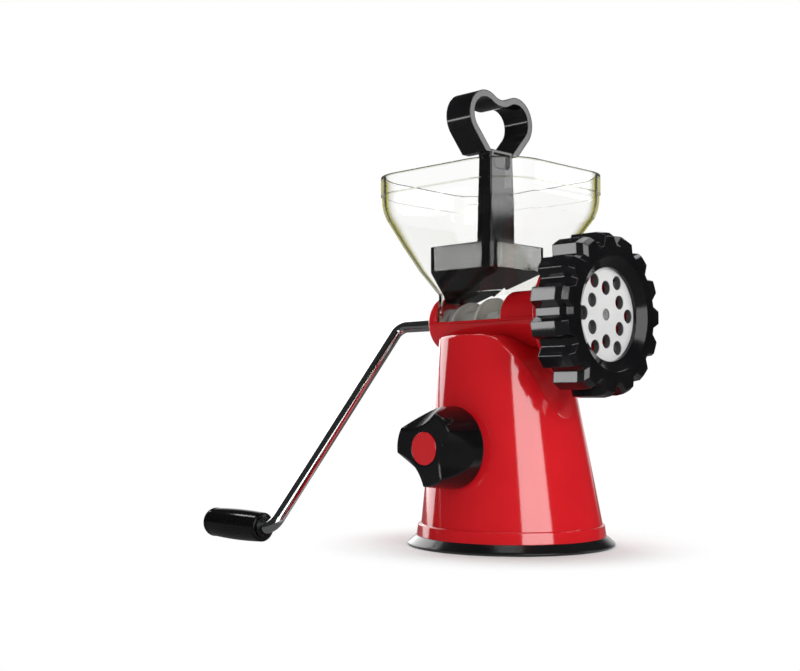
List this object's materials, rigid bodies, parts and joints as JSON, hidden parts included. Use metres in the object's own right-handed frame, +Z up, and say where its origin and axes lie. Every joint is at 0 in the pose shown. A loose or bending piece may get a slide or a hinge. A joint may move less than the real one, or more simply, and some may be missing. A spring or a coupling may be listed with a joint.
{
  "type": "hand crank meat grinder",
  "caption": "Suction-base hand grinder: conical stand, horizontal barrel with feed screw, clear hopper with pusher, toothed ring nut over a hole plate, bent crank.",
  "frame": {"origin": "centre of the rubber foot's flat underside, on the table", "axes": "+X along the barrel to the outlet, -Y to the suction knob, +Z up"},
  "size_m": [0.2392, 0.1862, 0.286],
  "materials": {
    "red_plastic": "gloss",
    "black_plastic": "gloss",
    "clear_plastic": "clear",
    "foot_rubber": "satin",
    "chrome": "polished",
    "plate_steel": "brushed",
    "inner_steel": "plain",
    "pale_plastic": "satin",
    "bearing_plastic": "satin"
  },
  "bodies": {
    "base": {"suction_cup": "foot_rubber", "stand": "red_plastic", "base_plate": "bearing_plastic", "base_plate_screws": "inner_steel", "stem_spring": "inner_steel", "spindle_bush": "bearing_plastic", "barrel": "red_plastic", "barrel_screws": "inner_steel", "rear_bush": "bearing_plastic", "auger_seal": "bearing_plastic", "hopper": "clear_plastic"},
    "stem": {"cup_stem": "bearing_plastic"},
    "knob": {"knob": "black_plastic", "knob_cap": "red_plastic", "knob_screw": "inner_steel", "knob_spindle": "inner_steel", "lift_cam": "bearing_plastic", "spindle_circlip": "inner_steel"},
    "drive": {"auger": "pale_plastic", "blade": "plate_steel", "crank_rod": "chrome", "crank_collar": "chrome", "grip_washer": "inner_steel", "grip_retainer": "inner_steel"},
    "grip": {"crank_grip": "black_plastic", "grip_cap": "black_plastic"},
    "plate": {"hole_plate": "plate_steel"},
    "nut": {"ring_nut": "black_plastic"},
    "pusher": {"pusher": "black_plastic"}
  },
  "joints": [
    {"name": "crank_turn", "type": "hinge", "parent": "base", "child": "drive", "pos_m": [0, 0, 0.14], "axis": [1, 0, 0], "continuous": true},
    {"name": "grip_spin", "type": "hinge", "parent": "drive", "child": "grip", "pos_m": [-0.13, -0.11196, 0.01075], "axis": [1, 0, 0], "continuous": true},
    {"name": "pusher_slide", "type": "slide", "parent": "base", "child": "pusher", "axis": [0, 0, 1], "range_m": [0, 0.12]},
    {"name": "knob_turn", "type": "hinge", "parent": "base", "child": "knob", "pos_m": [0, -0.06, 0.0615], "axis": [0, -1, 0], "range_deg": [0, 90]},
    {"name": "stem_lift", "type": "slide", "parent": "base", "child": "stem", "axis": [0, 0, 1], "range_m": [0, 0.0072], "deforming": ["suction_cup", "stem_spring"]},
    {"name": "plate_slide", "type": "slide", "parent": "base", "child": "plate", "axis": [1, 0, 0], "range_m": [0, 0.0181]},
    {"name": "nut_turn", "type": "hinge", "parent": "plate", "child": "nut", "pos_m": [0.06, 0, 0.14], "axis": [1, 0, 0], "range_deg": [0, 1440]}
  ],
  "couplings": [
    {"joint": "stem_lift", "follows": "knob_turn", "m_per_rad": 0.0045016},
    {"joint": "plate_slide", "follows": "nut_turn", "m_per_rad": 0.0007162}
  ]
}
